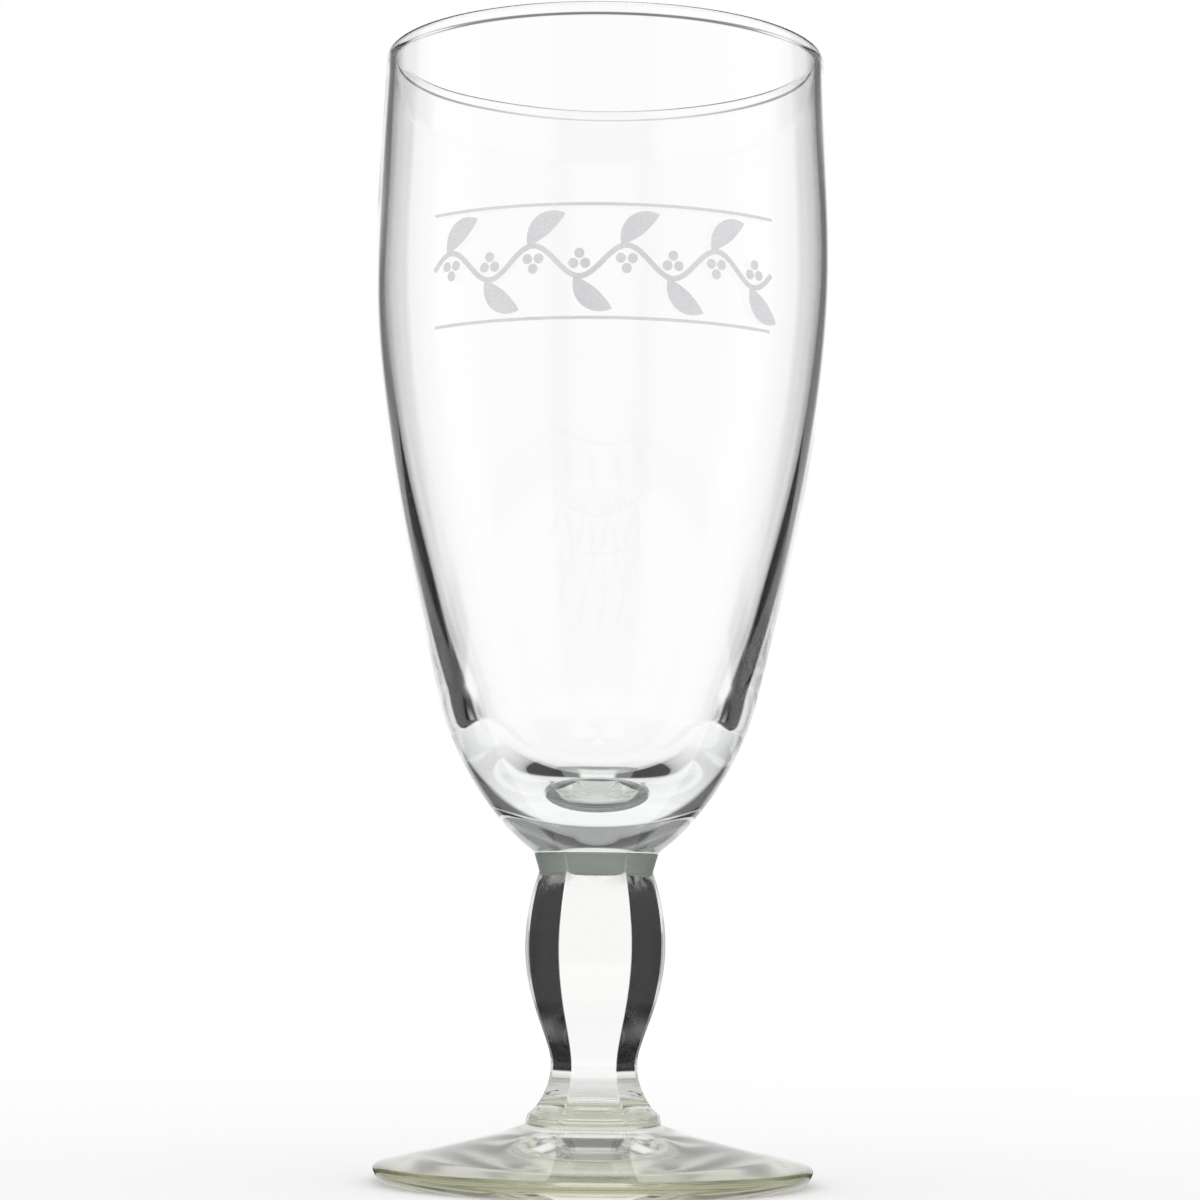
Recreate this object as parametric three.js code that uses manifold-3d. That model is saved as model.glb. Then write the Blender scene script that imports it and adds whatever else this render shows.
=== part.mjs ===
// A footed beer glass: a blown bowl welded to a six-sided pressed stem, and that to a pressed foot.
import * as THREE from 'three'
import { mergeVertices } from 'three/addons/utils/BufferGeometryUtils.js'
import Module from 'manifold-3d'

// Sizes are in millimetres and angles in degrees. Heights are above the table, and rises above a weld.

// Foot
const footRadius = 33.8
const footEdgeHeight = 2.1
const footEdgeRound = 0.75
const restRadius = 32.2
const restWidth = 7
const hollowDepth = 1.5
const hollowReach = 8.4
const hollowEdgeLean = 8
const coneTopRadius = 14
const coneSlope = 14.4
const coneReach = 1.5
const filletLean = 60
const filletReach = 0.75
const footHeight = 9.3
const footWeldRadius = 10.3

// Stem, with radii measured at the ridges between its flat sides
const sides = 6
const stemHeight = 41.4
const waistRadius = 6.65
const waistRise = 8.6
const waistReachDown = 3
const waistReachUp = 4.1
const bulgeRadius = 10.85
const bulgeRise = 27
const bulgeReachDown = 8.8
const bulgeReachUp = 4.1
const stemEndRadius = 7.4
const stemEndLean = 29.5
const stemEndReach = 4.5
const flareLean = 50
const flareReach = 2.2

// Round rings that carry the six sides over to the welds
const baseRingHeight = 1.1
const baseRingTaper = 0.3
const baseRingShoulder = 1.5
const collarHeight = 2.9
const collarTaper = 0.85
const collarShoulder = 0.9

// Bowl outside
const bowlHeight = 125.5
const bowlWeldRadius = 9.66
const bowlWeldLean = 34.4
const bowlWeldReach = 8
const shoulderRadius = 24.7
const shoulderRise = 23.6
const shoulderLean = 76.8
const shoulderReachDown = 8.9
const shoulderReachUp = 15.1
const bellyRadius = 35.78
const bellyRise = 92.3
const bellyReachDown = 25
const bellyReachUp = 10
const rimRadius = 34.6
const rimLean = 92
const rimReach = 10

// Bowl inside, with a low bead under the rim and a slight knuckle where the wall turns into the base
const bellyWall = 1.4
const rimWall = 1.4
const rimRound = 1.1
const rimBead = 0.28
const rimBeadReach = 1.4
const knuckleWall = 6
const knuckleDrop = 3.6
const knuckleLeanUp = 68
const knuckleLeanDown = 58
const knuckleReachUp = 14
const knuckleReachDown = 7.8
const innerBellyReachDown = 26
const baseWall = 8.8
const floorReach = 8.2

// Smoothness
const roundSteps = 72
const curveSteps = 10
const tightSteps = 5

// Heights of the two welds and the rim
const lowWeld = footHeight
const highWeld = lowWeld + stemHeight
const rimTop = highWeld + bowlHeight

const wasm = await Module()
wasm.setup()

function at(radius, height) {
  return new THREE.Vector2(radius, height)
}

// The point a given length from another, with the angle measured up from level outwards.
function from(point, angle, length) {
  const turn = THREE.MathUtils.degToRad(angle)
  return at(point.x + length * Math.cos(turn), point.y + length * Math.sin(turn))
}

// A cubic curve without its first point, so that curves can follow one another.
function curve(start, startHandle, endHandle, end, steps) {
  return new THREE.CubicBezierCurve(start, startHandle, endHandle, end).getPoints(steps).slice(1)
}

function turned(profile, steps, startAngle) {
  const geometry = new THREE.LatheGeometry(profile, steps, THREE.MathUtils.degToRad(startAngle))
  geometry.rotateX(Math.PI / 2)
  geometry.deleteAttribute('normal')
  geometry.deleteAttribute('uv')
  return mergeVertices(geometry, 1e-4)
}

function solid(geometry) {
  const vertProperties = new Float32Array(geometry.attributes.position.array)
  const triVerts = new Uint32Array(geometry.index.array)
  return new wasm.Manifold(new wasm.Mesh({ numProp: 3, vertProperties, triVerts }))
}

function geometryOf(body) {
  const { vertProperties, triVerts } = body.getMesh()
  const geometry = new THREE.BufferGeometry()
  geometry.setAttribute('position', new THREE.BufferAttribute(vertProperties, 3))
  geometry.setIndex(new THREE.BufferAttribute(triVerts, 1))
  return geometry
}

function named(name, geometry, colour) {
  geometry.computeVertexNormals()
  const material = new THREE.MeshStandardMaterial({ color: colour, roughness: 0.05 })
  material.name = name
  const mesh = new THREE.Mesh(geometry, material)
  mesh.name = name
  return mesh
}

// Foot: a hollow underside, a flat ring to stand on, a rounded edge, a cone and a fillet up to the weld.
function footProfile() {
  const fall = Math.tan(THREE.MathUtils.degToRad(coneSlope))
  const hollowRadius = restRadius - restWidth
  const hollowTop = at(0, hollowDepth)
  const hollowEdge = at(hollowRadius, 0)
  const restEdge = at(restRadius, 0)
  const widest = at(footRadius, footEdgeHeight)
  const coneFoot = at(footRadius - footEdgeRound, footEdgeHeight + footEdgeRound)
  const coneTop = at(coneTopRadius, coneFoot.y + (coneFoot.x - coneTopRadius) * fall)
  const weldEdge = at(footWeldRadius, footHeight)
  const edgeReach = footEdgeRound / 2
  return [
    hollowTop,
    ...curve(
      hollowTop,
      from(hollowTop, 0, hollowReach),
      from(hollowEdge, 180 - hollowEdgeLean, hollowReach),
      hollowEdge,
      curveSteps,
    ),
    restEdge,
    ...curve(restEdge, restEdge, from(widest, -90, footEdgeHeight / 2), widest, tightSteps),
    ...curve(
      widest,
      from(widest, 90, edgeReach),
      from(coneFoot, -coneSlope, edgeReach),
      coneFoot,
      tightSteps,
    ),
    coneTop,
    ...curve(
      coneTop,
      from(coneTop, 180 - coneSlope, coneReach),
      from(weldEdge, -filletLean, filletReach),
      weldEdge,
      tightSteps,
    ),
    at(0, footHeight),
  ]
}

// The line of one stem ridge from the lower weld to the upper.
function ridgeProfile() {
  const flareEnd = at(footWeldRadius - baseRingTaper, lowWeld + baseRingHeight)
  const waist = at(waistRadius, lowWeld + waistRise)
  const bulge = at(bulgeRadius, lowWeld + bulgeRise)
  const end = at(stemEndRadius, highWeld)
  return [
    at(0, lowWeld),
    at(flareEnd.x, lowWeld),
    flareEnd,
    ...curve(
      flareEnd,
      from(flareEnd, 90 + flareLean, flareReach),
      from(waist, -90, waistReachDown),
      waist,
      curveSteps,
    ),
    ...curve(waist, from(waist, 90, waistReachUp), from(bulge, -90, bulgeReachDown), bulge, curveSteps),
    ...curve(
      bulge,
      from(bulge, 90, bulgeReachUp),
      from(end, stemEndLean - 90, stemEndReach),
      end,
      curveSteps,
    ),
    at(0, highWeld),
  ]
}

function baseRingProfile() {
  const low = at(footWeldRadius, lowWeld)
  const high = at(footWeldRadius - baseRingTaper, lowWeld + baseRingHeight)
  const tip = at(waistRadius, high.y + baseRingShoulder)
  return [
    at(0, lowWeld),
    low,
    high,
    ...curve(
      high,
      at(high.x - baseRingShoulder, tip.y),
      from(tip, 0, baseRingShoulder),
      tip,
      tightSteps,
    ),
    at(0, tip.y),
  ]
}

function collarProfile() {
  const high = at(bowlWeldRadius, highWeld)
  const low = at(bowlWeldRadius - collarTaper, highWeld - collarHeight)
  const tip = at(waistRadius, low.y - collarShoulder)
  return [
    at(0, tip.y),
    ...curve(tip, at(low.x, tip.y), from(low, -90, collarShoulder / 2), low, tightSteps),
    high,
    at(0, highWeld),
  ]
}

// Bowl: up the outside, over the rounded rim and down the inside to the thick base.
function bowlProfile() {
  const seam = at(bowlWeldRadius, highWeld)
  const shoulder = at(shoulderRadius, highWeld + shoulderRise)
  const belly = at(bellyRadius, highWeld + bellyRise)
  const lipWall = rimWall + rimBead
  const rimOut = at(rimRadius, rimTop - rimRound)
  const rimIn = at(rimRadius - lipWall, rimOut.y)
  const beadEnd = at(rimRadius - rimWall, rimOut.y - rimBeadReach)
  const innerBelly = at(bellyRadius - bellyWall, belly.y)
  const knuckle = at(shoulderRadius - knuckleWall, shoulder.y - knuckleDrop)
  const floor = at(0, highWeld + baseWall)
  const rim = new THREE.EllipseCurve(rimOut.x - lipWall / 2, rimOut.y, lipWall / 2, rimRound, 0, Math.PI)
  return [
    at(0, highWeld),
    seam,
    ...curve(
      seam,
      from(seam, bowlWeldLean, bowlWeldReach),
      from(shoulder, shoulderLean - 180, shoulderReachDown),
      shoulder,
      curveSteps,
    ),
    ...curve(
      shoulder,
      from(shoulder, shoulderLean, shoulderReachUp),
      from(belly, -90, bellyReachDown),
      belly,
      curveSteps,
    ),
    ...curve(
      belly,
      from(belly, 90, bellyReachUp),
      from(rimOut, rimLean - 180, rimReach),
      rimOut,
      tightSteps,
    ),
    ...rim.getPoints(2 * tightSteps).slice(1, -1),
    rimIn,
    ...curve(
      rimIn,
      from(rimIn, -90, rimBeadReach / 2),
      from(beadEnd, 90, rimBeadReach / 2),
      beadEnd,
      tightSteps,
    ),
    ...curve(
      beadEnd,
      from(beadEnd, rimLean - 180, rimReach),
      from(innerBelly, 90, bellyReachUp),
      innerBelly,
      tightSteps,
    ),
    ...curve(
      innerBelly,
      from(innerBelly, -90, innerBellyReachDown),
      from(knuckle, knuckleLeanUp, knuckleReachUp),
      knuckle,
      curveSteps,
    ),
    ...curve(
      knuckle,
      from(knuckle, knuckleLeanDown - 180, knuckleReachDown),
      from(floor, 0, floorReach),
      floor,
      curveSteps,
    ),
  ]
}

// A flat side of the stem faces the front.
const frontFacet = 180 / sides
const hexagon = solid(turned(ridgeProfile(), sides, frontFacet))
const baseRing = solid(turned(baseRingProfile(), roundSteps, 0))
const collar = solid(turned(collarProfile(), roundSteps, 0))
const stem = hexagon.add(baseRing).add(collar)

const glass = new THREE.Group()
glass.name = 'footed_beer_glass'
glass.add(named('foot', turned(footProfile(), roundSteps, 0), 0xd3dcd4))
glass.add(named('stem', geometryOf(stem), 0xc6d0c8))
glass.add(named('bowl', turned(bowlProfile(), roundSteps, 0), 0xdce5e6))

export default glass
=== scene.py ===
# A footed beer glass in a white studio: a blown bowl, a pressed six-sided stem, a pressed foot and a print.
import math
from types import SimpleNamespace

import bmesh
import bpy
import numpy as np
from mathutils import Euler, Matrix


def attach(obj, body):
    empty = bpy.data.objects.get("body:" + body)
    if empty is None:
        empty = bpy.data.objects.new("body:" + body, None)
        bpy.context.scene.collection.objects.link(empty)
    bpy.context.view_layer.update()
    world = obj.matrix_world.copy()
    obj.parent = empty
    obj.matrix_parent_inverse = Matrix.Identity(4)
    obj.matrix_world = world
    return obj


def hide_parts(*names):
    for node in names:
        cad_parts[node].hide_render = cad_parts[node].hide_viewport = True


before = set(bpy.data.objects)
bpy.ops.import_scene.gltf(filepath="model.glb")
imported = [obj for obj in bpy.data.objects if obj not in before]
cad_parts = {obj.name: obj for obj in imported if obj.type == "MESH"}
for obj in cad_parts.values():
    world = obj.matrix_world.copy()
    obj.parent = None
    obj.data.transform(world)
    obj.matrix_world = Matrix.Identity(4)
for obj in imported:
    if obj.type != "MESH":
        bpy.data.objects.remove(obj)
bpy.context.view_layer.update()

# Sizes are in metres and angles in radians. A turn is measured from the front, -Y, towards the right, +X.
MM = 0.001
TINY = 1e-6
SAME_DIGITS = 7

# Fineness of the meshes
ROUND_STEPS = 240
OUTLINE_STEPS = 5
FIT_POINTS = 5
FIT_MISS = 0.02 * MM
FACET_STEPS = 40
FACET_CROWDING = 1.6
BASE_LEVELS = 60
BODY_LEVELS = 130
COLLAR_LEVELS = 90
LEVELS_OVERLAP = 1 * MM
SHARP_ANGLE = math.radians(40)

# Welds, each with a hair's gap between its two pieces, and the bead round the upper one
WELD_GAP = 0.02 * MM
WELD_BEAD = 0.16 * MM

# Stem
SIDES = 6
HALF_SIDE = math.pi / SIDES
RIDGE_ROUND = 0.45 * MM
BASE_FILLET = 0.6 * MM
BASE_GROOVE = 0.07 * MM
BASE_GROOVE_PITCH = 0.5 * MM
BASE_GROOVES = 3
COLLAR_FILLET = 0.12 * MM

# Unevenness of blown and pressed glass
BOWL_WAVE = 0.02 * MM
BOWL_INNER_WAVE = 0.04 * MM
BOWL_CALM_RISE = 12 * MM
BOWL_CALM_RADIUS = 8 * MM
STEM_WAVE = 0.015 * MM
FOOT_WAVE = 0.02 * MM
FOOT_CONE_LOW = 2.4 * MM
FOOT_CONE_RADIUS = 13 * MM
OUTSIDE_SEED = 0.4
INSIDE_SEED = 3.7
STEM_SEED = 1.9
FOOT_SEED = 5.2
# Each wave has its lobes round the glass, its lean per metre up, its share of the size and of the seed.
WAVES = (2, 31, 1.0, 1.0), (3, -47, 0.6, 2.1), (5, 140, 0.35, 1.3), (7, -210, 0.25, 0.7)

# Print, a running vine between two lines, with lengths along the bowl
PRINT_REACH = 28.0 * MM
PRINT_DROP = 39.4 * MM
VINE_POINTS = 141
VINE_WAVE = 14.0 * MM
VINE_SWING = 2.3 * MM
VINE_WIDTH = 0.8 * MM
LEAF_POINTS = 17
LEAF_BLUNT = 0.04
LEAF_LENGTH = 7.4 * MM
LEAF_WIDTH = 3.2 * MM
LEAF_ANGLE = math.radians(40)
LEAF_CURL = 0.9 * MM
LEAF_BACK = 0.8 * MM
LEAF_TAPER = 0.9
BERRY = 1.5 * MM
BERRY_APART = 1.75 * MM
BERRY_STACK = 0.85
BERRY_DROP = 1.9 * MM
BERRY_TAPER = 0.5
LINE_WIDTH = 0.45 * MM
LINE_RISE = 8.4 * MM
STRIP_POINTS = 5
ENAMEL_GAP = 0.02 * MM
ENAMEL_THICK = 0.03 * MM

# Camera, fitted to the ellipses of the rim and the foot
EYE_DISTANCE = 510.1 * MM
EYE_HEIGHT = 42.5 * MM
EYE_SIDE = 0.12 * MM
EYE_TILT = math.radians(5.32)
EYE_ROLL = math.radians(0.65)
EYE_CLIP = 10 * MM
LENS_MM = 98.3
SENSOR_MM = 36.0

# Glass, with its tint per metre, its ripple and its roughness
WHITE = 1, 1, 1
BLACK = 0, 0, 0
GLASS_IOR = 1.52
RIPPLE = 0.05 * MM
RIPPLE_DETAIL = 2.0
GLASSES = {
    "bowl": {"tint": (0.70, 0.78, 0.76), "density": 5.0, "scale": 90.0, "ripple": 0.02, "rough": 0.0},
    "stem": {"tint": (0.55, 0.68, 0.50), "density": 5.0, "scale": 220.0, "ripple": 0.08, "rough": 0.0},
    "foot": {"tint": (0.62, 0.64, 0.45), "density": 14.0, "scale": 140.0, "ripple": 0.05, "rough": 0.07},
}

# Frost on the collar, painted grey there as shade, and chilled patches on the facets, with drops below the
# bowl's weld
FROST_DROP = 0.3 * MM
FROST_SOFT = 0.1 * MM
FROST_ROUGH = 0.45
FROST_CLEAR = 0.4
# Painted grey shade in the collar's colour
COLLAR_SHADE_COLOUR = 0.33, 0.375, 0.33
CHILL_DROP = 9.2 * MM, 3.2 * MM
CHILL_SCALE = 420.0
CHILL_DETAIL = 5.0
CHILL_GROWTH = 0.12
CHILL_PATCHES = 0.4, 0.75
CHILL_ROUGH = 0.5

# Painted shade on the foot's edge, a deeper tint for light's long way through the glass, with distances in
# from its edge
EDGE_SHADE_INSET = 1.4 * MM, 0.3 * MM
# Colour of the painted shade on the foot's edge
EDGE_SHADE_COLOUR = 0.80, 0.78, 0.62

# Enamel, with a fine speckle and wide clouds
ENAMEL_COLOUR = 0.82, 0.825, 0.84
ENAMEL_ROUGH = 0.4, 0.55
NOISE_SPREAD = 0.3, 0.7
SPECKLE_SCALE = 2600.0
SPECKLE_DETAIL = 3.0
SPECKLE_SHADE = 0.92
SPECKLE_BUMP = 0.2
CLOUD_SCALE = 160.0
CLOUD_DETAIL = 2.0
CLOUD_SHADE = 0.95

# Studio, with rises as the sine of the angle up, and angles from the back, +Y, unless told otherwise
BACK_DARK = 0.012
FRONT_DARK = 0.45
SIDE_SOFT = 0.2
CEILING_RISE = 0.37, 0.47

# Light straight through the glass
THROUGH_PANEL = math.radians(9), math.radians(40)
THROUGH_CEILING = 0.2
THROUGH_TABLE_RISE = -0.12, -0.07
BACK_TABLE_DROP = 0.08

# Light turned back inside the glass
TURNED_PANEL = math.radians(15), math.radians(21)
TURNED_TABLE_RISE = -0.38, -0.35
HIGH_BACK_RISE = -0.13, 0.0
HIGH_BACK_WIDER = 0.13
HIGH_BACK_LEVEL = 0.2
BESIDE = math.radians(41), math.radians(48)
BESIDE_RISE = -0.3, -0.24
BESIDE_LEVEL = 0.65
OVERHEAD_RISE = 0.62, 0.72
OVERHEAD_LEVELS = 0.9, 0.33
CEILING_GAP = math.radians(38), math.radians(46)
CEILING_GAP_RISE = 0.82
CEILING_GAP_HALF = 0.08, 0.12
CEILING_GAP_LEVEL = 0.08

# Light mirrored by the skin of the glass, with the eye's shade measured from the front
EYE_SHADE = math.radians(20), math.radians(32)
EYE_LEVEL = 0.35
SIDE_LEVEL = 0.95
FLANK = math.radians(62), math.radians(69)
FLANK_LEVEL = 0.06
BACKDROP = math.radians(18), math.radians(28)

# Floor, with distances from the glass's axis. Glass sees it glow white, with a painted shadow round the glass
# and painted dark patches that stand in for a dark room. A patch has two angles, and the distances where it
# sets in.
FLOOR_COLOUR = 0.99, 0.99, 0.99
FLOOR_STEPS = 128
FLOOR_DROP = 0.1 * MM
FLOOR_FADE = 270 * MM, 330 * MM
TURNED_FADE = 110 * MM
# Painted shadow on the floor round the glass, seen only through the glass: its inner and outer radius, and
# its level
CONTACT_SHADOW = 34 * MM, 70 * MM
CONTACT_SHADOW_LEVEL = 0.75
# Painted dark patches on the floor, seen only by glass, for light straight through and for mirrored light
SHADE_PATCH = (math.radians(28), math.radians(80)), (70 * MM, 100 * MM)
MIRRORED_SHADE_PATCH = (math.radians(34), math.radians(85)), (10 * MM, 20 * MM)
SHADE_PATCH_SOFT = 0.05
ONE_PIECE_DEPTH = 2.5

# Light paths, long enough for three pieces of glass
BOUNCES = 40
CLEAR_BOUNCES = 16


# Outlines, read from the CAD solids

def on_half_plane(co, turn):
    """Radius and height of a point on the half-plane at a turn, or None for any other point."""
    along = co.x * math.sin(turn) - co.y * math.cos(turn)
    across = co.x * math.cos(turn) + co.y * math.sin(turn)
    if abs(across) > TINY or along < -TINY:
        return None
    return round(max(along, 0.0), SAME_DIGITS), round(co.z, SAME_DIGITS)


def turned_outline(node):
    """A turned solid's half-section as radius and height, in order from its lowest point on the axis."""
    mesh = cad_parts[node].data
    links = {}
    for edge in mesh.edges:
        a, b = (on_half_plane(mesh.vertices[i].co, 0.0) for i in edge.vertices)
        if a and b and a != b:
            links.setdefault(a, set()).add(b)
            links.setdefault(b, set()).add(a)
    path = [min((p for p in links if p[0] < TINY), key=lambda p: p[1])]
    ahead = links[path[-1]]
    while ahead:
        path.append(min(ahead))
        ahead = links[path[-1]] - set(path)
    return path


def edge_line(node, turn):
    """The outermost points of a solid at a turn, as height and radius, from the bottom up."""
    line = {}
    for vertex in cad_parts[node].data.vertices:
        spot = on_half_plane(vertex.co, turn)
        if spot and spot[0] > TINY:
            line[spot[1]] = max(spot[0], line.get(spot[1], 0.0))
    return sorted(line.items())


def smooth(points):
    """Fine points on the curves behind an outline, whose points lie evenly along each curve.

    Five points on one curve have hardly any fourth difference. Where no five fit, the outline is straight."""
    p = np.array(points)
    order = FIT_POINTS - 1
    part = np.arange(1, OUTLINE_STEPS + 1) / OUTLINE_STEPS
    fine = [p[:1]]
    for i in range(len(p) - 1):
        starts = range(max(i - order + 1, 0), min(i, len(p) - FIT_POINTS) + 1)
        misses = [np.abs(np.diff(p[s:s + FIT_POINTS], order, axis=0)).max() for s in starts]
        if misses and min(misses) < FIT_MISS:
            s = starts[int(np.argmin(misses))]
            fit = np.polyfit(np.arange(FIT_POINTS), p[s:s + FIT_POINTS], order)
            fine.append(np.stack([np.polyval(fit[:, k], i - s + part) for k in (0, 1)], axis=1))
        else:
            fine.append(p[i] + part[:, None] * (p[i + 1] - p[i]))
    return np.concatenate(fine)


def wave(turn, z, size, seed):
    """A gentle unevenness of a glass wall, the same on every run."""
    total = 0.0
    for lobes, lean, share, shift in WAVES:
        total = total + share * np.sin(lobes * turn + lean * z + shift * seed)
    return size * total / 2


# Meshes

def smooth_piece(name, vertices, faces):
    mesh = bpy.data.meshes.new(name)
    mesh.from_pydata(vertices.tolist(), [], faces)
    mesh.polygons.foreach_set("use_smooth", [True] * len(faces))
    mesh.set_sharp_from_angle(angle=SHARP_ANGLE)
    mesh.update()
    piece = bpy.data.objects.new(name, mesh)
    bpy.context.scene.collection.objects.link(piece)
    return piece


def grid_mesh(name, rings, turns, weld=None):
    """A closed body of rings with a point at each end, each ring an array of radii and one of heights.

    The fan at the low or high end is marked where it is welded to the next piece."""
    count = len(turns)
    corners = [np.stack([r * np.sin(turns), -r * np.cos(turns), z], axis=1) for r, z in rings[1:-1]]
    ends = [np.array([[0.0, 0.0, z]]) for r, z in (rings[0], rings[-1])]
    vertices = np.concatenate(corners + ends)
    low, high = len(vertices) - 2, len(vertices) - 1
    last = (len(corners) - 1) * count
    faces = []
    for i in range(count):
        j = (i + 1) % count
        faces.append((low, j, i))
        faces.append((high, last + i, last + j))
    for k in range(len(corners) - 1):
        a, b = k * count, (k + 1) * count
        for i in range(count):
            j = (i + 1) % count
            faces.append((a + i, a + j, b + j, b + i))
    piece = smooth_piece(name, vertices, faces)
    marks = np.zeros(len(faces))
    if weld:
        marks[("low", "high").index(weld):2 * count:2] = 1.0
    piece.data.attributes.new("weld", "FLOAT", "FACE").data.foreach_set("value", marks)
    return piece


def even_turns():
    return np.linspace(0, 2 * math.pi, ROUND_STEPS, endpoint=False)


def turned_rings(outline, turns, size, seed, calm):
    """Rings of an outline of radius and height, made uneven where calm is under 1."""
    rings = []
    for (r, z), still in zip(outline, calm):
        rings.append((r + (1 - still) * wave(turns, z, size, seed), np.full(len(turns), z)))
    return rings


def bowl_piece():
    """The bowl, uneven except near its weld and in the middle of its floor."""
    outline = turned_outline("bowl")
    fine = smooth(outline[1:])
    weld_height = outline[0][1] + WELD_GAP / 2
    fine[0] = fine[0, 0] + WELD_BEAD, weld_height
    inner = int(np.argmax(fine[:, 1])) + 1
    turns = even_turns()
    calm = 1 - np.clip((fine[:, 1] - weld_height) / BOWL_CALM_RISE, 0, 1)
    calm[fine[:, 0] < BOWL_CALM_RADIUS] = 1.0
    outside = turned_rings(fine[:inner], turns, BOWL_WAVE, OUTSIDE_SEED, calm[:inner])
    inside = turned_rings(fine[inner:-1], turns, BOWL_INNER_WAVE, INSIDE_SEED, calm[inner:-1])
    rings = [(0.0, weld_height), *outside, *inside, (0.0, fine[-1, 1])]
    return grid_mesh("glass_bowl", rings, turns)


def foot_piece():
    """The foot, uneven only on its cone."""
    outline = turned_outline("foot")
    fine = smooth(outline[:-1])
    weld_height = outline[-1][1] - WELD_GAP / 2
    fine[-1, 1] = weld_height
    turns = even_turns()
    coned = (fine[:, 1] > FOOT_CONE_LOW) & (fine[:, 0] > FOOT_CONE_RADIUS)
    calm = np.where(coned, 0.0, 1.0)
    rings = turned_rings(fine[1:], turns, FOOT_WAVE, FOOT_SEED, calm[1:])
    rings = [(0.0, fine[0, 1]), *rings, (0.0, weld_height)]
    return grid_mesh("glass_foot", rings, turns, "high")


def rounded_max(a, b, width):
    """The larger of two radii, with a fillet where they cross."""
    near = np.maximum(width - np.abs(a - b), 0) / width
    return np.maximum(a, b) + near ** 2 * width / 4


def six_sided(ridge, turns):
    """Radii of a regular section with rounded ridges of the given radius."""
    apothem = ridge * math.cos(HALF_SIDE) + RIDGE_ROUND * (1 - math.cos(HALF_SIDE))
    off_ridge = HALF_SIDE - np.abs((turns + HALF_SIDE) % (2 * HALF_SIDE) - HALF_SIDE)
    centre = (apothem - RIDGE_ROUND) / math.cos(HALF_SIDE)
    touch = math.atan2(RIDGE_ROUND * math.sin(HALF_SIDE), centre + RIDGE_ROUND * math.cos(HALF_SIDE))
    within = np.minimum(off_ridge, touch)
    arc = centre * np.cos(within) + np.sqrt(RIDGE_ROUND ** 2 - (centre * np.sin(within)) ** 2)
    flat = apothem / np.cos(HALF_SIDE - off_ridge)
    return np.where(off_ridge < touch, arc, flat)


def facet_turns():
    """Turns round the sides of the stem, finer towards the ridges."""
    step = np.linspace(-1, 1, FACET_STEPS, endpoint=False)
    within = np.sign(step) * (1 - (1 - np.abs(step)) ** FACET_CROWDING)
    return np.concatenate([(2 * k + within) * HALF_SIDE for k in range(SIDES)])


def stem_piece():
    """The stem with its base ring and its collar, which is marked for the frost and its painted grey shade.
    """
    ridge = smooth(edge_line("stem", HALF_SIDE))
    # In the middle of a side, only the two rings have points.
    middle = edge_line("stem", 0.0)
    gap = max(range(len(middle) - 1), key=lambda i: middle[i + 1][0] - middle[i][0])
    base = smooth(middle[:gap + 1])
    collar = smooth(middle[gap + 1:])
    low, high = middle[0][0] + WELD_GAP / 2, middle[-1][0] - WELD_GAP / 2
    base_top, collar_low = base[-1, 0], collar[0, 0]
    body_low, body_high = base_top + LEVELS_OVERLAP, collar_low - LEVELS_OVERLAP
    levels = np.concatenate([
        np.linspace(low, body_low, BASE_LEVELS, endpoint=False),
        np.linspace(body_low, body_high, BODY_LEVELS, endpoint=False),
        np.linspace(body_high, high, COLLAR_LEVELS),
    ])
    turns = facet_turns()
    rings = []
    cover = []
    for z in levels:
        r = six_sided(np.interp(z, *ridge.T), turns) + wave(turns, z, STEM_WAVE, STEM_SEED)
        on_collar = np.zeros(len(turns))
        if z <= base_top:
            groove = BASE_GROOVE * math.cos(2 * math.pi * (z - low) / BASE_GROOVE_PITCH)
            fade = max(0.0, 1 - (z - low) / (BASE_GROOVES * BASE_GROOVE_PITCH))
            r = rounded_max(r, np.interp(z, *base.T) + groove * fade, BASE_FILLET)
        if z >= collar_low:
            bead = WELD_BEAD * math.exp(-(high - z) / WELD_BEAD)
            ring = np.interp(z, *collar.T) + bead
            on_collar = np.clip(0.5 + (ring - r) / COLLAR_FILLET, 0, 1)
            r = rounded_max(r, ring, COLLAR_FILLET)
        rings.append((r, np.full(len(turns), z)))
        cover.append(on_collar)
    piece = grid_mesh("glass_stem", [(0.0, low), *rings, (0.0, high)], turns, "low")
    cover = np.concatenate(cover + [[0.0, 1.0]])
    piece.data.attributes.new("collar", "FLOAT", "POINT").data.foreach_set("value", cover)
    return piece


# Print

def ribbon(centre, width):
    """Rows of points across a line of points, each row as wide as told."""
    way = np.gradient(centre, axis=0)
    way = way / np.linalg.norm(way, axis=1)[:, None]
    side = np.stack([-way[:, 1], way[:, 0]], axis=1)
    across = np.linspace(-0.5, 0.5, STRIP_POINTS)
    return centre[:, None] + side[:, None] * (width[:, None] * across)[:, :, None]


def almond(start, angle, length, width, curl, taper):
    """A leaf, pointed where taper is near 1, or a round berry where it is straight and taper is 0.5."""
    t = (1 - np.cos(np.linspace(LEAF_BLUNT, math.pi - LEAF_BLUNT, LEAF_POINTS))) / 2
    bend = curl * np.sin(math.pi * t)
    x = start[0] + length * t * math.cos(angle) - bend * math.sin(angle)
    z = start[1] + length * t * math.sin(angle) + bend * math.cos(angle)
    return ribbon(np.stack([x, z], axis=1), width * (4 * t * (1 - t)) ** taper)


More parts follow.
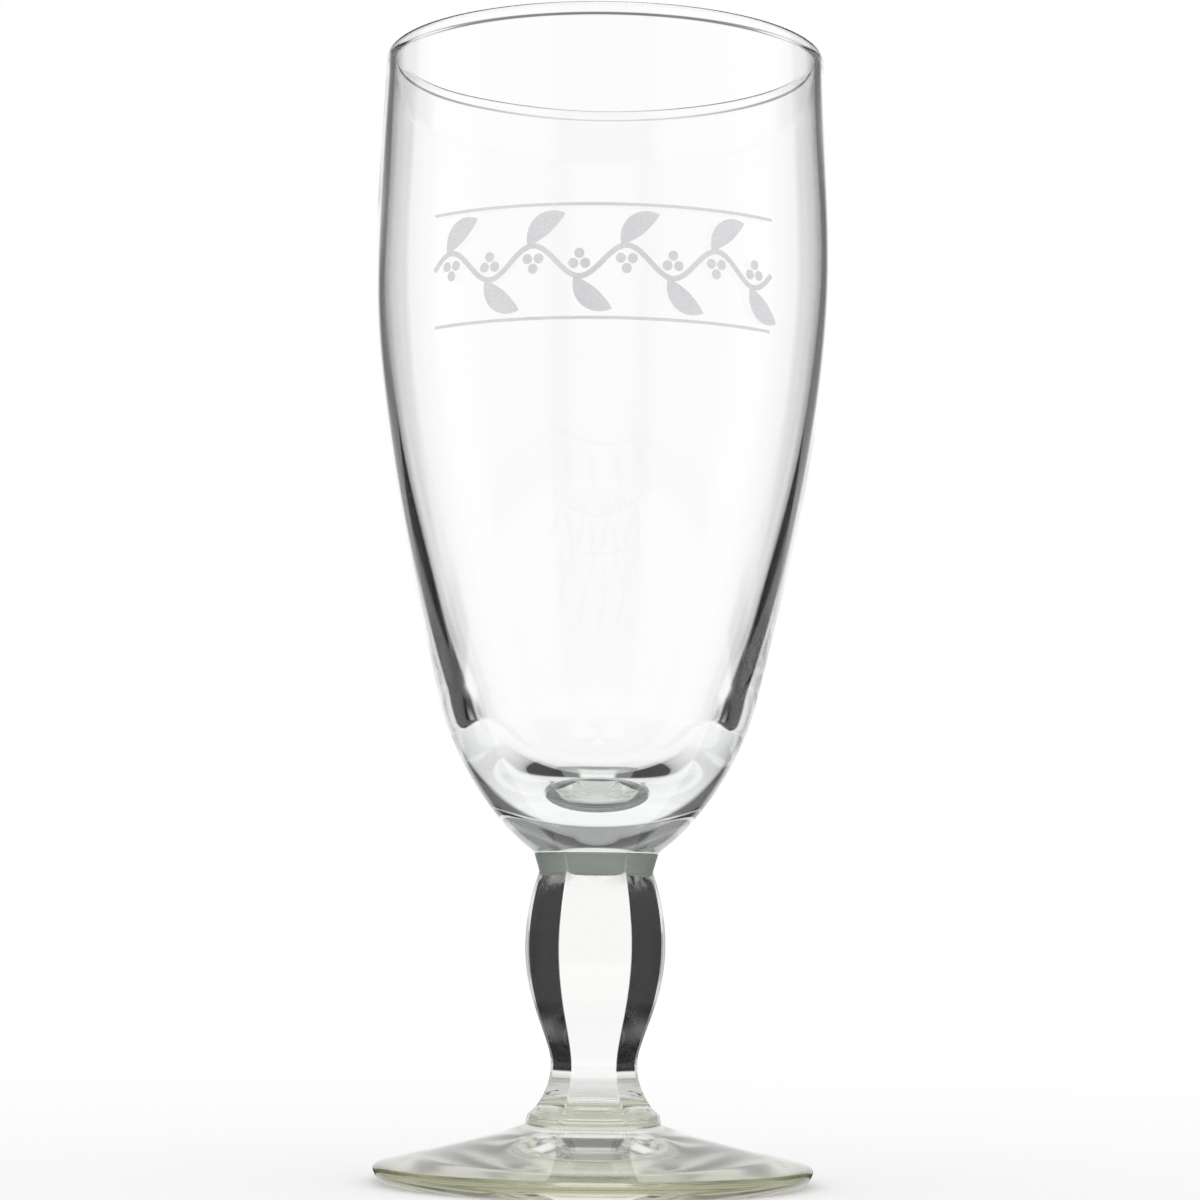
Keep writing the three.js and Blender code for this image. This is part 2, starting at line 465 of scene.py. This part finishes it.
def vine_strips():
    """The strips of the print, in lengths along the bowl and heights above the print's middle."""
    x = np.linspace(-PRINT_REACH, PRINT_REACH, VINE_POINTS)
    vine = np.stack([x, VINE_SWING * np.sin(2 * math.pi * x / VINE_WAVE)], axis=1)
    strips = [ribbon(vine, np.full(len(x), VINE_WIDTH))]
    for rise in (-LINE_RISE, LINE_RISE):
        line = np.stack([x, np.full(len(x), rise)], axis=1)
        strips.append(ribbon(line, np.full(len(x), LINE_WIDTH)))
    bends = np.arange(-PRINT_REACH + VINE_WAVE / 4, PRINT_REACH, VINE_WAVE / 2)
    for i, bend in enumerate(bends):
        up = 1 - 2 * (i % 2)
        stalk = bend - LEAF_BACK, up * VINE_SWING
        strips.append(almond(stalk, up * LEAF_ANGLE, LEAF_LENGTH, LEAF_WIDTH, up * LEAF_CURL, LEAF_TAPER))
        for step in (-1, 0, 1):
            side = bend + step * BERRY_APART / 2 - BERRY / 2
            drop = VINE_SWING - BERRY_DROP - BERRY_APART * BERRY_STACK * (1 - abs(step))
            strips.append(almond((side, up * drop), 0.0, BERRY, BERRY, 0.0, BERRY_TAPER))
    return strips


def shell_faces(index):
    """Faces of a closed strip whose points are numbered by layer, row and column."""
    rows, columns = index.shape[1:]
    faces = []
    for a in range(rows - 1):
        for b in range(columns - 1):
            corners = (a, b), (a + 1, b), (a + 1, b + 1), (a, b + 1)
            faces.append([int(index[1][c]) for c in corners])
            faces.append([int(index[0][c]) for c in reversed(corners)])
    around = [(a, 0) for a in range(rows)]
    around += [(rows - 1, b) for b in range(1, columns)]
    around += [(a, columns - 1) for a in range(rows - 2, -1, -1)]
    around += [(0, b) for b in range(columns - 2, 0, -1)]
    for c, d in zip(around, around[1:] + around[:1]):
        faces.append([int(index[0][c]), int(index[0][d]), int(index[1][d]), int(index[1][c])])
    return faces


def print_piece():
    """The vine as closed strips of enamel on the bowl's outside."""
    outline = turned_outline("bowl")
    rim = max(range(len(outline)), key=lambda i: outline[i][1])
    outside = smooth(outline[1:rim + 1])
    middle = outline[rim][1] - PRINT_DROP
    vertices, faces = [], []
    for strip in vine_strips():
        z = middle + strip[:, :, 1]
        r = np.interp(z, outside[:, 1], outside[:, 0])
        turn = strip[:, :, 0] / r
        r = r + wave(turn, z, BOWL_WAVE, OUTSIDE_SEED) + ENAMEL_GAP
        start = len(vertices)
        for layer in (r, r + ENAMEL_THICK):
            spots = np.stack([layer * np.sin(turn), -layer * np.cos(turn), z], axis=2)
            vertices.extend(spots.reshape(-1, 3))
        faces += shell_faces(np.arange(start, len(vertices)).reshape(2, *z.shape))
    piece = smooth_piece("print_vine", np.array(vertices), faces)
    shell = bmesh.new()
    shell.from_mesh(piece.data)
    bmesh.ops.recalc_face_normals(shell, faces=shell.faces)
    shell.to_mesh(piece.data)
    shell.free()
    return piece


# Shader nodes

def add_node(tree, kind, inputs, **settings):
    """A new node whose inputs are set to values or linked to other nodes' outputs."""
    node = tree.nodes.new(kind)
    for name, value in settings.items():
        setattr(node, name, value)
    for key, value in inputs.items():
        if isinstance(value, bpy.types.NodeSocket):
            tree.links.new(value, node.inputs[key])
        else:
            node.inputs[key].default_value = value
    return node


def ramp(tree, value, low, high, at_low, at_high):
    inputs = {"Value": value, "From Min": low, "From Max": high, "To Min": at_low, "To Max": at_high}
    return add_node(tree, "ShaderNodeMapRange", inputs, interpolation_type="SMOOTHSTEP").outputs["Result"]


def fan(tree, cosine, angles, at_near, at_far):
    """A ramp from one angle to a wider one, over their cosine."""
    near, far = (math.cos(angle) for angle in angles)
    return ramp(tree, cosine, far, near, at_far, at_near)


def maths(tree, operation, a, b=0.0):
    return add_node(tree, "ShaderNodeMath", {0: a, 1: b}, operation=operation).outputs[0]


def times(tree, first, *others):
    for other in others:
        first = maths(tree, "MULTIPLY", first, other)
    return first


def blend(tree, factor, a, b):
    return add_node(tree, "ShaderNodeMix", {"Factor": factor, 2: a, 3: b}).outputs[0]


def blend_colours(tree, factor, a, b):
    inputs = {"Factor": factor, 6: (*a, 1), 7: (*b, 1)}
    return add_node(tree, "ShaderNodeMix", inputs, data_type="RGBA").outputs[2]


def object_place(tree):
    return add_node(tree, "ShaderNodeTexCoord", {}).outputs["Object"]


def noise(tree, place, scale, detail):
    inputs = {"Vector": place, "Scale": scale, "Detail": detail}
    return add_node(tree, "ShaderNodeTexNoise", inputs).outputs["Fac"]


def attribute(tree, name):
    return add_node(tree, "ShaderNodeAttribute", {}, attribute_name=name).outputs["Fac"]


def add_bump(tree, height, strength, distance):
    bump = add_node(tree, "ShaderNodeBump", {"Strength": strength, "Distance": distance, "Height": height})
    tree.links.new(bump.outputs["Normal"], tree.nodes["Principled BSDF"].inputs["Normal"])


def new_tree(name):
    material = bpy.data.materials.new(name)
    material.use_nodes = True
    return material, material.node_tree


# Materials

def clear_glass(name, tint, density, scale, ripple, rough):
    """Clear glass with a rippled skin and a tint from the way light has through it."""
    material, tree = new_tree(name)
    shader = tree.nodes["Principled BSDF"]
    shader.inputs["Transmission Weight"].default_value = 1.0
    shader.inputs["Base Color"].default_value = (*WHITE, 1)
    shader.inputs["Roughness"].default_value = rough
    shader.inputs["IOR"].default_value = GLASS_IOR
    add_bump(tree, noise(tree, object_place(tree), scale, RIPPLE_DETAIL), ripple, RIPPLE)
    volume = add_node(tree, "ShaderNodeVolumeAbsorption", {"Color": (*tint, 1), "Density": density})
    tree.links.new(volume.outputs["Volume"], tree.nodes["Material Output"].inputs["Volume"])
    return material


def open_weld(material):
    """Lets light go straight on where a piece is welded to the next."""
    tree = material.node_tree
    ior = blend(tree, attribute(tree, "weld"), GLASS_IOR, 1.0)
    tree.links.new(ior, tree.nodes["Principled BSDF"].inputs["IOR"])


def frost_and_shade_collar(material, weld_height):
    """Roughens the collar all over, and the facets under it in patches. Paints the collar grey as shade, and
    lets less light through it so the grey shows.
    """
    tree = material.node_tree
    shader = tree.nodes["Principled BSDF"]
    place = object_place(tree)
    height = add_node(tree, "ShaderNodeSeparateXYZ", {"Vector": place}).outputs["Z"]
    top = weld_height - FROST_DROP
    below_seam = ramp(tree, height, top - FROST_SOFT, top + FROST_SOFT, 1.0, 0.0)
    frost_and_shade_mask = times(tree, attribute(tree, "collar"), below_seam)
    near = ramp(tree, height, *(weld_height - drop for drop in CHILL_DROP), 0.0, 1.0)
    grain = noise(tree, place, CHILL_SCALE, CHILL_DETAIL)
    growth = maths(tree, "ADD", grain, times(tree, near, CHILL_GROWTH))
    chill = times(tree, ramp(tree, growth, *CHILL_PATCHES, 0.0, 1.0), near, below_seam)
    rough = maths(tree, "MAXIMUM", times(tree, frost_and_shade_mask, FROST_ROUGH), times(tree, chill, CHILL_ROUGH))
    tree.links.new(rough, shader.inputs["Roughness"])
    tree.links.new(ramp(tree, frost_and_shade_mask, 0.0, 1.0, 1.0, FROST_CLEAR), shader.inputs["Transmission Weight"])
    # Painted grey shade on the collar, in its colour
    tree.links.new(blend_colours(tree, frost_and_shade_mask, WHITE, COLLAR_SHADE_COLOUR), shader.inputs["Base Color"])


def shade_foot_edge(material, radius):
    """Paints shade into the foot's edge as a deeper tint, where light has its longest way through the glass.
    """
    tree = material.node_tree
    level = {0: object_place(tree), 1: (1, 1, 0)}
    flat = add_node(tree, "ShaderNodeVectorMath", level, operation="MULTIPLY").outputs["Vector"]
    reach = add_node(tree, "ShaderNodeVectorMath", {0: flat}, operation="LENGTH").outputs["Value"]
    edge_shade = ramp(tree, reach, *(radius - inset for inset in EDGE_SHADE_INSET), 0.0, 1.0)
    # Painted shade on the foot's edge
    colour = blend_colours(tree, edge_shade, WHITE, EDGE_SHADE_COLOUR)
    tree.links.new(colour, tree.nodes["Principled BSDF"].inputs["Base Color"])


def enamel():
    """Pale grey fired enamel, semi-matte, with a fine speckle."""
    material, tree = new_tree("print_enamel")
    shader = tree.nodes["Principled BSDF"]
    place = object_place(tree)
    speckle = noise(tree, place, SPECKLE_SCALE, SPECKLE_DETAIL)
    cloud = noise(tree, place, CLOUD_SCALE, CLOUD_DETAIL)
    speckled = ramp(tree, speckle, *NOISE_SPREAD, SPECKLE_SHADE, 1.0)
    clouded = ramp(tree, cloud, *NOISE_SPREAD, CLOUD_SHADE, 1.0)
    pale = times(tree, speckled, clouded)
    tree.links.new(blend_colours(tree, pale, BLACK, ENAMEL_COLOUR), shader.inputs["Base Color"])
    tree.links.new(ramp(tree, cloud, *NOISE_SPREAD, *ENAMEL_ROUGH), shader.inputs["Roughness"])
    add_bump(tree, speckle, SPECKLE_BUMP, ENAMEL_THICK)
    return material


# Studio

def ray_sockets(tree):
    """How a ray goes out into the world: its rise, its way on the level and what it met before."""
    place = add_node(tree, "ShaderNodeTexCoord", {}).outputs["Generated"]
    x, y, rise = add_node(tree, "ShaderNodeSeparateXYZ", {"Vector": place}).outputs
    level = maths(tree, "SQRT", maths(tree, "SUBTRACT", 1.0, times(tree, rise, rise)))
    larger = maths(tree, "MAXIMUM", maths(tree, "ABSOLUTE", x), maths(tree, "ABSOLUTE", y))
    return SimpleNamespace(
        rise=rise,
        ahead=maths(tree, "DIVIDE", y, level),
        square_on=maths(tree, "DIVIDE", larger, level),
        past=add_node(tree, "ShaderNodeLightPath", {}).outputs,
    )


def panels(tree, ray, edge):
    """White in front, behind and at the sides, and dark between them."""
    dark = ramp(tree, ray.ahead, -SIDE_SOFT, SIDE_SOFT, FRONT_DARK, BACK_DARK)
    return blend(tree, fan(tree, ray.square_on, edge, 1.0, 0.0), dark, 1.0)


def light_through(tree, ray):
    """Light that came straight through the glass sees soft panels, a white table and a dim ceiling."""
    drop = ramp(tree, ray.ahead, -SIDE_SOFT, SIDE_SOFT, 0.0, BACK_TABLE_DROP)
    table = ramp(tree, maths(tree, "ADD", ray.rise, drop), *THROUGH_TABLE_RISE, 1.0, 0.0)
    light = blend(tree, table, panels(tree, ray, THROUGH_PANEL), 1.0)
    return blend(tree, ramp(tree, ray.rise, *CEILING_RISE, 0.0, 1.0), light, THROUGH_CEILING)


def light_turned(tree, ray):
    """Light turned back inside the glass sees hard panels, a low table and a ceiling with a gap in it."""
    high_ahead = maths(tree, "ADD", ray.ahead, ramp(tree, ray.rise, *HIGH_BACK_RISE, 0.0, HIGH_BACK_WIDER))
    high_back = times(tree, fan(tree, high_ahead, TURNED_PANEL, 1.0, 0.0), HIGH_BACK_LEVEL)
    light = blend(tree, high_back, panels(tree, ray, TURNED_PANEL), 1.0)
    light = blend(tree, ramp(tree, ray.rise, *TURNED_TABLE_RISE, 1.0, 0.0), light, 1.0)
    # Light turned only once finds the sides lighter.
    once = ramp(tree, ray.past["Glossy Depth"], 1.0, 2.0, BESIDE_LEVEL, 0.0)
    aside = fan(tree, ray.ahead, BESIDE, 0.0, 1.0)
    beside = times(tree, aside, ramp(tree, ray.rise, *BESIDE_RISE, 0.0, 1.0), once)
    light = blend(tree, beside, light, 1.0)
    off_gap = maths(tree, "ABSOLUTE", maths(tree, "SUBTRACT", ray.rise, CEILING_GAP_RISE))
    in_gap = ramp(tree, off_gap, *CEILING_GAP_HALF, 1.0, 0.0)
    gap = times(tree, fan(tree, ray.ahead, CEILING_GAP, 1.0, 0.0), in_gap)
    overhead = ramp(tree, ray.rise, *OVERHEAD_RISE, *OVERHEAD_LEVELS)
    overhead = blend(tree, gap, overhead, CEILING_GAP_LEVEL)
    return blend(tree, ramp(tree, ray.rise, *CEILING_RISE, 0.0, 1.0), light, overhead)


def light_mirrored(tree, ray):
    """Light mirrored by the skin sees white sides, dark flanks, a white backdrop and a shade at the eye."""
    eye = [-math.cos(angle) for angle in EYE_SHADE]
    light = ramp(tree, ray.ahead, *eye, EYE_LEVEL, SIDE_LEVEL)
    for edge, level in ((FLANK, FLANK_LEVEL), (BACKDROP, 1.0)):
        light = blend(tree, fan(tree, ray.ahead, edge, 1.0, 0.0), light, level)
    return light


def studio_world():
    """White for the camera and for matte surfaces. Light from glass finds panels and dark gaps instead."""
    world = bpy.data.worlds.new("studio")
    bpy.context.scene.world = world
    world.use_nodes = True
    world.cycles.sampling_method = "NONE"
    tree = world.node_tree
    ray = ray_sockets(tree)
    turned = maths(tree, "MINIMUM", ray.past["Glossy Depth"], 1.0)
    scattered = maths(tree, "MINIMUM", ray.past["Diffuse Depth"], 1.0)
    seen = blend(tree, turned, light_through(tree, ray), light_turned(tree, ray))
    seen = blend(tree, ray.past["Is Reflection Ray"], seen, light_mirrored(tree, ray))
    seen = blend(tree, scattered, seen, 1.0)
    seen = blend(tree, ray.past["Is Camera Ray"], seen, 1.0)
    background = tree.nodes["Background"]
    background.inputs["Color"].default_value = (*WHITE, 1)
    tree.links.new(seen, background.inputs["Strength"])


def floor():
    """A pale round floor that fades into the white round it. Glass sees it glow white, with a painted shadow
    round the glass and painted dark patches on it.
    """
    under = 0, 0, -FLOOR_DROP
    bpy.ops.mesh.primitive_circle_add(
        vertices=FLOOR_STEPS, radius=FLOOR_FADE[1], fill_type="NGON", location=under
    )
    disc = bpy.context.object
    disc.name = "floor"
    material, tree = new_tree("floor")
    place = object_place(tree)
    past = add_node(tree, "ShaderNodeLightPath", {}).outputs
    reach = add_node(tree, "ShaderNodeVectorMath", {0: place}, operation="LENGTH").outputs["Value"]
    aim = add_node(tree, "ShaderNodeVectorMath", {0: place}, operation="NORMALIZE").outputs["Vector"]
    ahead = add_node(tree, "ShaderNodeSeparateXYZ", {"Vector": aim}).outputs["Y"]
    turned = maths(tree, "MINIMUM", past["Glossy Depth"], 1.0)
    straight = maths(tree, "SUBTRACT", 1.0, turned)
    one_piece = maths(tree, "LESS_THAN", past["Transmission Depth"], ONE_PIECE_DEPTH)

    # A painted dark patch on the floor's glow, between two angles and beyond a distance
    def shade_patch(angles, near):
        narrow, wide = (math.cos(angle) for angle in angles)
        inside = ramp(tree, ahead, wide - SHADE_PATCH_SOFT, wide, 0.0, 1.0)
        outside = ramp(tree, ahead, narrow, narrow + SHADE_PATCH_SOFT, 1.0, 0.0)
        return times(tree, inside, outside, ramp(tree, reach, *near, 0.0, 1.0))

    # Painted shadow round the glass in the floor's glow, as glass sees it
    seen = ramp(tree, reach, *CONTACT_SHADOW, CONTACT_SHADOW_LEVEL, 1.0)
    # Painted dark patches in the floor's glow, for light straight through one piece and for mirrored light
    seen = blend(tree, times(tree, straight, one_piece, shade_patch(*SHADE_PATCH)), seen, BACK_DARK)
    seen = blend(tree, times(tree, past["Is Reflection Ray"], shade_patch(*MIRRORED_SHADE_PATCH)), seen, FLANK_LEVEL)
    glow = add_node(tree, "ShaderNodeEmission", {"Strength": seen})
    cloth = add_node(tree, "ShaderNodeBsdfDiffuse", {"Color": (*FLOOR_COLOUR, 1)})
    by_glass = maths(tree, "MAXIMUM", past["Is Transmission Ray"], past["Is Reflection Ray"])
    lit = add_node(tree, "ShaderNodeMixShader", {0: by_glass, 1: cloth.outputs[0], 2: glow.outputs[0]})
    clear = add_node(tree, "ShaderNodeBsdfTransparent", {})
    farther = maths(tree, "ADD", reach, times(tree, turned, TURNED_FADE))
    fade = ramp(tree, farther, *FLOOR_FADE, 1.0, 0.0)
    whole = add_node(tree, "ShaderNodeMixShader", {0: fade, 1: clear.outputs[0], 2: lit.outputs[0]})
    tree.links.new(whole.outputs[0], tree.nodes["Material Output"].inputs["Surface"])
    disc.data.materials.append(material)


def camera():
    data = bpy.data.cameras.new("camera")
    data.lens = LENS_MM
    data.sensor_width = SENSOR_MM
    data.clip_start = EYE_CLIP
    eye = bpy.data.objects.new("camera", data)
    turn = Euler((math.pi / 2 + EYE_TILT, 0, 0)).to_matrix() @ Matrix.Rotation(EYE_ROLL, 3, "Z")
    eye.matrix_world = Matrix.Translation((EYE_SIDE, -EYE_DISTANCE, EYE_HEIGHT)) @ turn.to_4x4()
    bpy.context.scene.collection.objects.link(eye)
    bpy.context.scene.camera = eye


# The glass and its studio

def build():
    scene = bpy.context.scene
    scene.view_settings.view_transform = "Standard"
    scene.cycles.max_bounces = BOUNCES
    scene.cycles.transmission_bounces = BOUNCES
    scene.cycles.glossy_bounces = BOUNCES
    scene.cycles.transparent_max_bounces = CLEAR_BOUNCES
    camera()
    pieces = {"bowl": bowl_piece(), "stem": stem_piece(), "foot": foot_piece()}
    glasses = {node: clear_glass(f"{node}_glass", **GLASSES[node]) for node in pieces}
    for node in ("stem", "foot"):
        open_weld(glasses[node])
    frost_and_shade_collar(glasses["stem"], turned_outline("bowl")[0][1])
    shade_foot_edge(glasses["foot"], max(r for r, z in turned_outline("foot")))
    for node, piece in pieces.items():
        piece.data.materials.append(glasses[node])
        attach(piece, "root")
        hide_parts(node)
    vine = print_piece()
    vine.data.materials.append(enamel())
    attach(vine, "root")
    studio_world()
    floor()


build()
